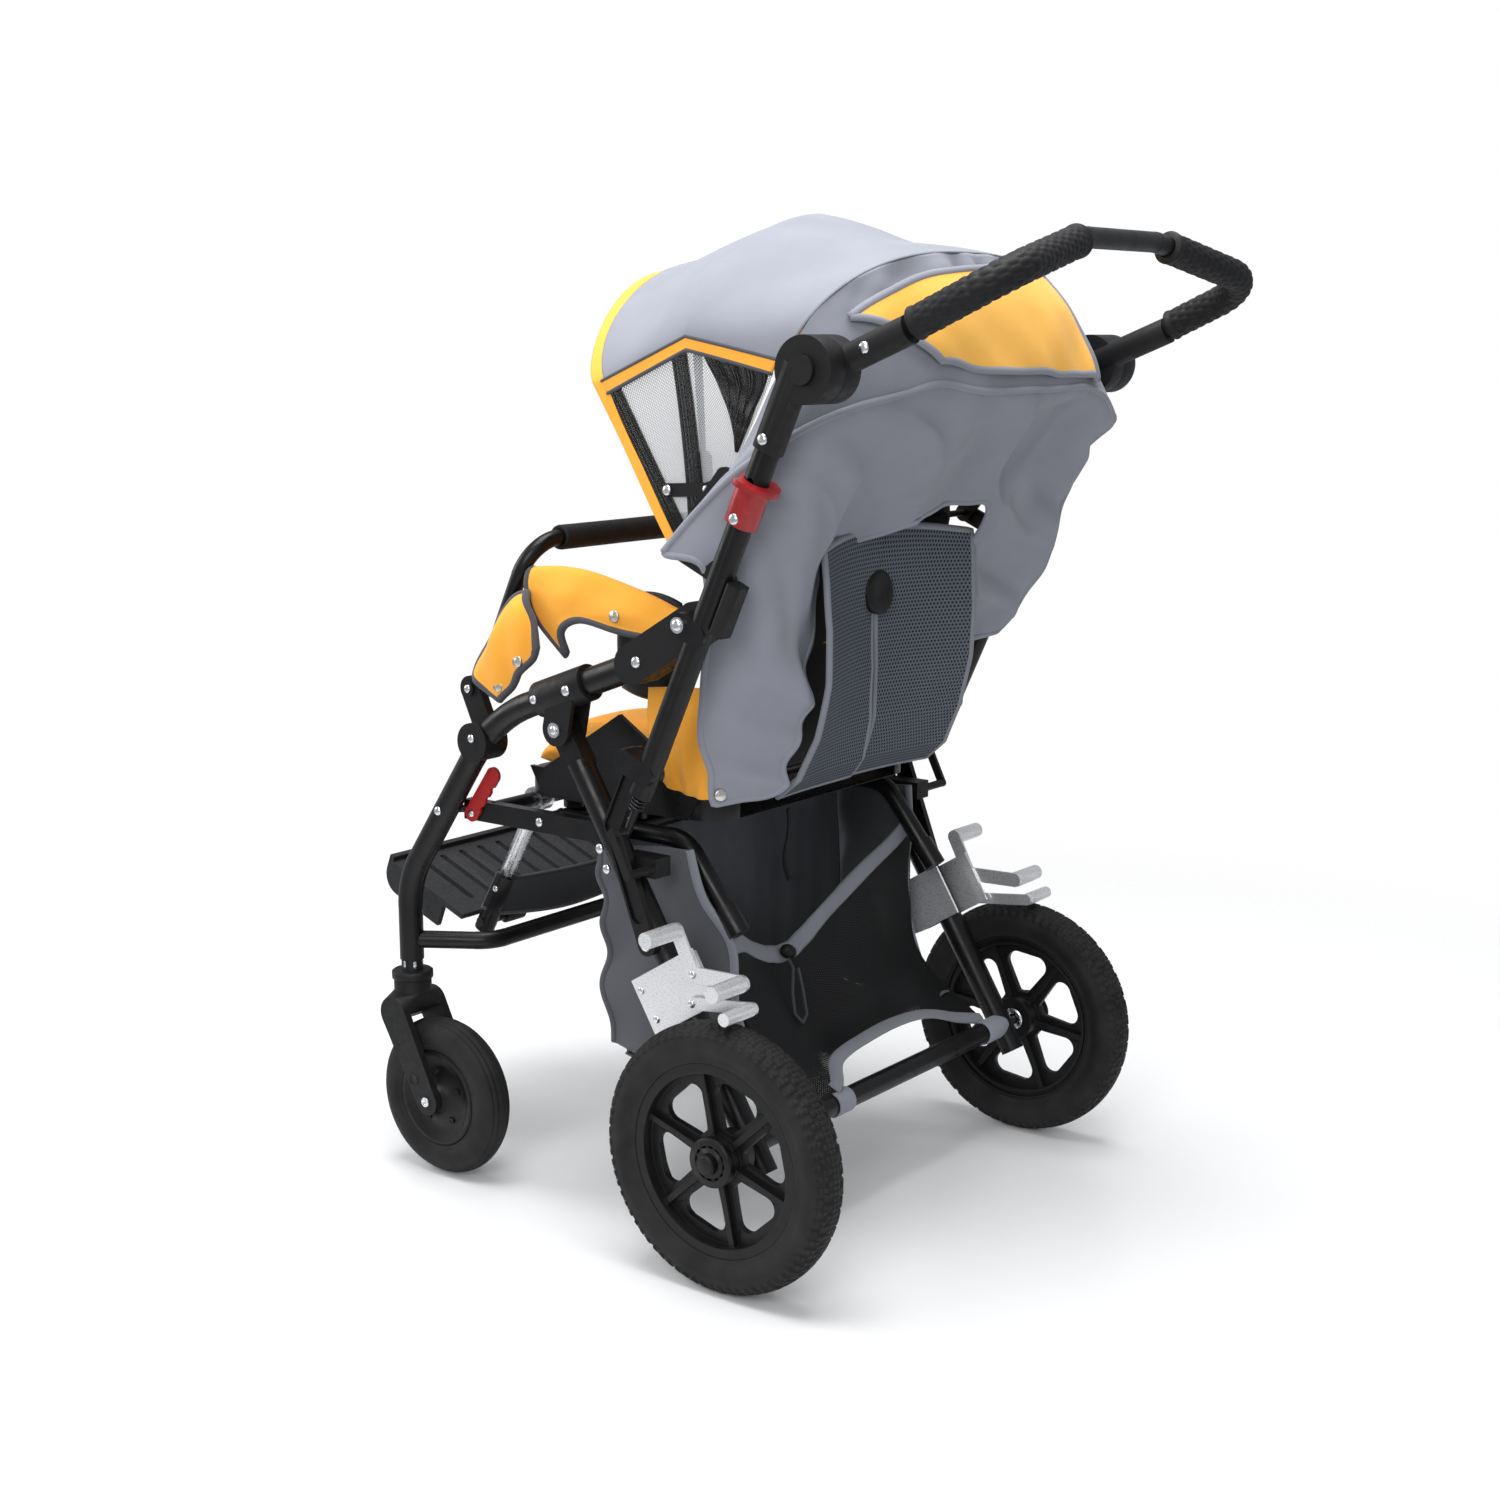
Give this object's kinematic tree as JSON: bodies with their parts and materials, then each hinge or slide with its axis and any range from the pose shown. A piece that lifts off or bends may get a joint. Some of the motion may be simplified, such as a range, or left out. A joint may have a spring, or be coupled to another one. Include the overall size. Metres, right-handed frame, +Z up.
{
  "type": "special needs buggy",
  "caption": "Folding pushchair for an older child: tube frame, moulded reclining seat, grab bar, footrest, fabric hood and back, basket, foot brakes and swivel front wheels.",
  "frame": {"origin": "on the floor under the middle of the whole object's box", "axes": "+Z up, the buggy faces -Y, its own left side is +X"},
  "size_m": [0.6866, 0.9659, 1.1439],
  "materials": {
    "black_frame": "satin black coating",
    "black_plastic": "moulded, fine grain",
    "red_plastic": "moulded, semi gloss",
    "red_metal": "powder coat",
    "steel": "bright",
    "dark_spring": "dark wire",
    "brake_alloy": "brushed",
    "tyre": "matt rubber",
    "foam": "soft foam",
    "orange_cloth": "woven, padded",
    "grey_cloth": "woven",
    "dark_cloth": "woven and mesh"
  },
  "bodies": {
    "front_frame": {"front_legs": "black_frame", "arm_tubes": "black_frame", "leg_joints": "black_plastic", "arm_joints": "black_plastic", "hinge_pins": "steel", "front_crossbar": "black_frame", "seat_subframe": "black_frame", "seat_shell": "black_plastic", "seat_cushion": "orange_cloth", "side_flaps": "orange_cloth", "grab_bar_clamps": "black_plastic", "basket": "dark_cloth"},
    "back_frame": {"back_tubes": "black_frame", "hub_sockets": "black_plastic", "lock_springs": "dark_spring", "tube_clips": "black_plastic", "back_curtain": "grey_cloth", "hood_cover": "grey_cloth"},
    "push_handle": {"push_bar": "black_frame", "grips": "foam", "handle_hubs": "black_plastic"},
    "hood_front": {"hood_front_bow": "black_frame"},
    "hood_mid": {"hood_mid_bow": "black_frame"},
    "stay_front": {"hood_stay_front": "black_plastic"},
    "stay_rear": {"hood_stay_rear": "black_plastic"},
    "backrest": {"backrest_board": "black_plastic", "back_cushion": "orange_cloth", "mesh_sling": "dark_cloth", "back_knob": "black_plastic"},
    "grab_bar": {"grab_bar": "black_frame", "grab_sleeve": "foam"},
    "legrest": {"legrest_tubes": "steel"},
    "footrest": {"footrest_tubes": "black_frame", "calf_pad": "dark_cloth"},
    "footplate": {"footplate": "black_plastic"},
    "rear_frame": {"rear_legs": "black_frame", "rear_cross_tube": "black_frame", "lock_clips": "black_plastic", "brake_brackets": "brake_alloy"},
    "fold_strut": {"fold_struts": "black_frame"},
    "rear_wheel_left": {"rear_tyre_left": "tyre", "rear_rim_left": "black_plastic"},
    "rear_wheel_right": {"rear_tyre_right": "tyre", "rear_rim_right": "black_plastic"},
    "caster_left": {"caster_fork_left": "black_plastic"},
    "caster_right": {"caster_fork_right": "black_plastic"},
    "caster_wheel_left": {"caster_tyre_left": "tyre", "caster_rim_left": "black_plastic"},
    "caster_wheel_right": {"caster_tyre_right": "tyre", "caster_rim_right": "black_plastic"},
    "brake_lever_left": {"brake_lever_left": "brake_alloy"},
    "brake_lever_right": {"brake_lever_right": "brake_alloy"},
    "brake_shoe_left": {"brake_shoe_left": "brake_alloy"},
    "brake_shoe_right": {"brake_shoe_right": "brake_alloy"},
    "seat_latch_left": {"seat_latch_left": "red_metal"},
    "seat_latch_right": {"seat_latch_right": "red_metal"},
    "fold_latch_left": {"fold_latch_left": "red_plastic"},
    "fold_latch_right": {"fold_latch_right": "red_plastic"},
    "hub_button_left": {"hub_button_left": "black_plastic"},
    "hub_button_right": {"hub_button_right": "black_plastic"}
  },
  "joints": [
    {"name": "frame_fold", "type": "hinge", "parent": "front_frame", "child": "back_frame", "pos_m": [0, 0.112, 0.718], "axis": [1, 0, 0], "range_deg": [-34, 0], "deforming": ["back_curtain"]},
    {"name": "rear_leg_fold", "type": "hinge", "parent": "front_frame", "child": "rear_frame", "pos_m": [0, -0.094, 0.58], "axis": [1, 0, 0], "range_deg": [0, 64.1]},
    {"name": "strut_fold", "type": "hinge", "parent": "rear_frame", "child": "fold_strut", "pos_m": [0, 0.0435, 0.35604], "axis": [1, 0, 0], "range_deg": [0, 15.29]},
    {"name": "rear_wheel_spin_left", "type": "hinge", "parent": "rear_frame", "child": "rear_wheel_left", "pos_m": [0.313, 0.17, 0.15], "axis": [1, 0, 0], "continuous": true},
    {"name": "caster_swivel_left", "type": "hinge", "parent": "front_frame", "child": "caster_left", "pos_m": [0.25, -0.364, 0.214], "axis": [0, 0, 1], "continuous": true},
    {"name": "caster_wheel_spin_left", "type": "hinge", "parent": "caster_left", "child": "caster_wheel_left", "pos_m": [0.25, -0.31, 0.098], "axis": [1, 0, 0], "continuous": true},
    {"name": "rear_wheel_spin_right", "type": "hinge", "parent": "rear_frame", "child": "rear_wheel_right", "pos_m": [-0.313, 0.17, 0.15], "axis": [1, 0, 0], "continuous": true},
    {"name": "caster_swivel_right", "type": "hinge", "parent": "front_frame", "child": "caster_right", "pos_m": [-0.25, -0.364, 0.214], "axis": [0, 0, 1], "continuous": true},
    {"name": "caster_wheel_spin_right", "type": "hinge", "parent": "caster_right", "child": "caster_wheel_right", "pos_m": [-0.25, -0.31, 0.098], "axis": [1, 0, 0], "continuous": true},
    {"name": "handle_tilt", "type": "hinge", "parent": "back_frame", "child": "push_handle", "pos_m": [0, 0.26992, 0.98011], "axis": [1, 0, 0], "range_deg": [-35, 50]},
    {"name": "hub_button_press_left", "type": "slide", "parent": "back_frame", "child": "hub_button_left", "axis": [-1, 0, 0], "range_m": [0, 0.004], "stiffness_N_per_m": 600, "springref_m": -0.003},
    {"name": "hub_button_press_right", "type": "slide", "parent": "back_frame", "child": "hub_button_right", "axis": [1, 0, 0], "range_m": [0, 0.004], "stiffness_N_per_m": 600, "springref_m": -0.003},
    {"name": "fold_latch_lift_left", "type": "slide", "parent": "back_frame", "child": "fold_latch_left", "axis": [0, 0.4147, 0.91], "range_m": [0, 0.02], "stiffness_N_per_m": 400, "springref_m": -0.012},
    {"name": "fold_latch_lift_right", "type": "slide", "parent": "back_frame", "child": "fold_latch_right", "axis": [0, 0.4147, 0.91], "range_m": [0, 0.02], "stiffness_N_per_m": 400, "springref_m": -0.012},
    {"name": "hood_fold", "type": "hinge", "parent": "back_frame", "child": "hood_front", "pos_m": [0, 0.089, 0.796], "axis": [1, 0, 0], "range_deg": [-60, 0], "deforming": ["hood_cover"]},
    {"name": "hood_mid_fold", "type": "hinge", "parent": "back_frame", "child": "hood_mid", "pos_m": [0, 0.089, 0.796], "axis": [1, 0, 0], "range_deg": [-30.5, 0]},
    {"name": "stay_rear_turn", "type": "hinge", "parent": "back_frame", "child": "stay_rear", "pos_m": [0, 0.15, 0.87], "axis": [1, 0, 0], "range_deg": [-80, 0]},
    {"name": "stay_front_turn", "type": "hinge", "parent": "hood_front", "child": "stay_front", "pos_m": [0, 0.047, 0.851], "axis": [1, 0, 0], "range_deg": [0, 138]},
    {"name": "backrest_recline", "type": "hinge", "parent": "front_frame", "child": "backrest", "pos_m": [0, 0.04, 0.515], "axis": [1, 0, 0], "range_deg": [-25, 0], "deforming": ["back_curtain"]},
    {"name": "legrest_angle", "type": "hinge", "parent": "front_frame", "child": "legrest", "pos_m": [0, -0.24, 0.462], "axis": [1, 0, 0], "range_deg": [-60, 0]},
    {"name": "footrest_height", "type": "slide", "parent": "legrest", "child": "footrest", "axis": [0, 0.4787, 0.878], "range_m": [0, 0.03]},
    {"name": "footplate_flip", "type": "hinge", "parent": "footrest", "child": "footplate", "pos_m": [0, -0.33167, 0.29387], "axis": [1, 0, 0], "range_deg": [-38, 0]},
    {"name": "grab_bar_swing", "type": "hinge", "parent": "front_frame", "child": "grab_bar", "pos_m": [0, -0.262, 0.606], "axis": [1, 0, 0], "range_deg": [0, 75]},
    {"name": "seat_latch_turn_left", "type": "hinge", "parent": "front_frame", "child": "seat_latch_left", "pos_m": [0, -0.266, 0.455], "axis": [1, 0, 0], "range_deg": [-30, 0], "stiffness_Nm_per_rad": 0.4, "springref_deg": 17.19},
    {"name": "seat_latch_turn_right", "type": "hinge", "parent": "front_frame", "child": "seat_latch_right", "pos_m": [0, -0.266, 0.455], "axis": [1, 0, 0], "range_deg": [-30, 0], "stiffness_Nm_per_rad": 0.4, "springref_deg": 17.19},
    {"name": "brake_lever_turn_left", "type": "hinge", "parent": "rear_frame", "child": "brake_lever_left", "pos_m": [0, 0.106, 0.334], "axis": [1, 0, 0], "range_deg": [-8, 0]},
    {"name": "brake_shoe_turn_left", "type": "hinge", "parent": "rear_frame", "child": "brake_shoe_left", "pos_m": [0, 0.107, 0.302], "axis": [1, 0, 0], "range_deg": [-4, 0]},
    {"name": "brake_lever_turn_right", "type": "hinge", "parent": "rear_frame", "child": "brake_lever_right", "pos_m": [0, 0.106, 0.334], "axis": [1, 0, 0], "range_deg": [-8, 0]},
    {"name": "brake_shoe_turn_right", "type": "hinge", "parent": "rear_frame", "child": "brake_shoe_right", "pos_m": [0, 0.107, 0.302], "axis": [1, 0, 0], "range_deg": [-4, 0]}
  ],
  "couplings": [
    {"joint": "rear_leg_fold", "follows": "frame_fold", "ratio": -1.8706},
    {"joint": "strut_fold", "follows": "frame_fold", "ratio": -0.4351},
    {"joint": "hood_mid_fold", "follows": "hood_fold", "ratio": 0.5},
    {"joint": "stay_rear_turn", "follows": "hood_fold", "ratio": 1.32},
    {"joint": "stay_front_turn", "follows": "hood_fold", "ratio": -2.28},
    {"joint": "brake_shoe_turn_left", "follows": "brake_lever_turn_left", "ratio": 0.475},
    {"joint": "brake_shoe_turn_right", "follows": "brake_lever_turn_right", "ratio": 0.475}
  ]
}
